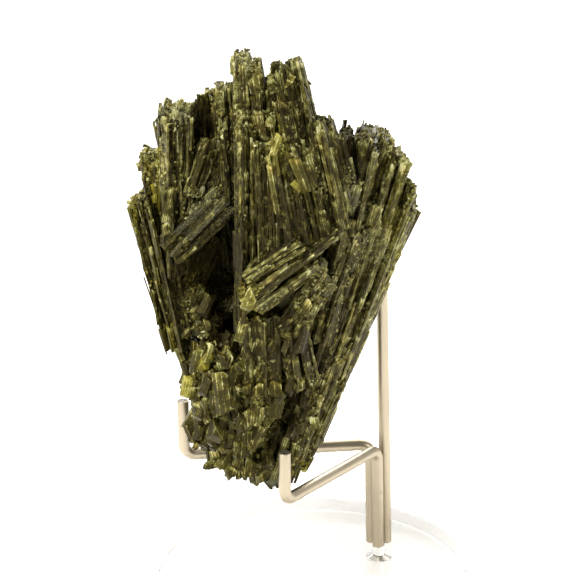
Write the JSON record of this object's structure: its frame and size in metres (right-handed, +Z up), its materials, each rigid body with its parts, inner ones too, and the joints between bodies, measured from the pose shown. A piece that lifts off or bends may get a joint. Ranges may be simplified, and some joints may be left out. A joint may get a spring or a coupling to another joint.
{
  "type": "epidote specimen on a stand",
  "caption": "Fan-shaped sheaf of striated olive-green epidote crystals resting on bent steel rods with upturned hooks above a clear round base.",
  "frame": {"origin": "centre of the flat underside of the base disc", "axes": "+Z up along the base disc's axis towards the crystals' upper tips, +X to the viewer's right, -Y towards the viewer and the specimen's display face"},
  "size_m": [0.0848, 0.08, 0.1495],
  "materials": {
    "epidote": "vitreous striated crystal faces, dark olive with yellow-green translucent tips and grey sugary broken patches",
    "steel": "satin stainless wire with fine lengthwise drawing marks",
    "acrylic": "clear polished acrylic with a faint warm tint"
  },
  "bodies": {
    "root": {"epidote": "epidote", "base_disc": "acrylic", "base_screw": "steel", "rod_front_hook": "steel", "rod_left_hook": "steel", "rod_back_support": "steel"}
  },
  "joints": []
}
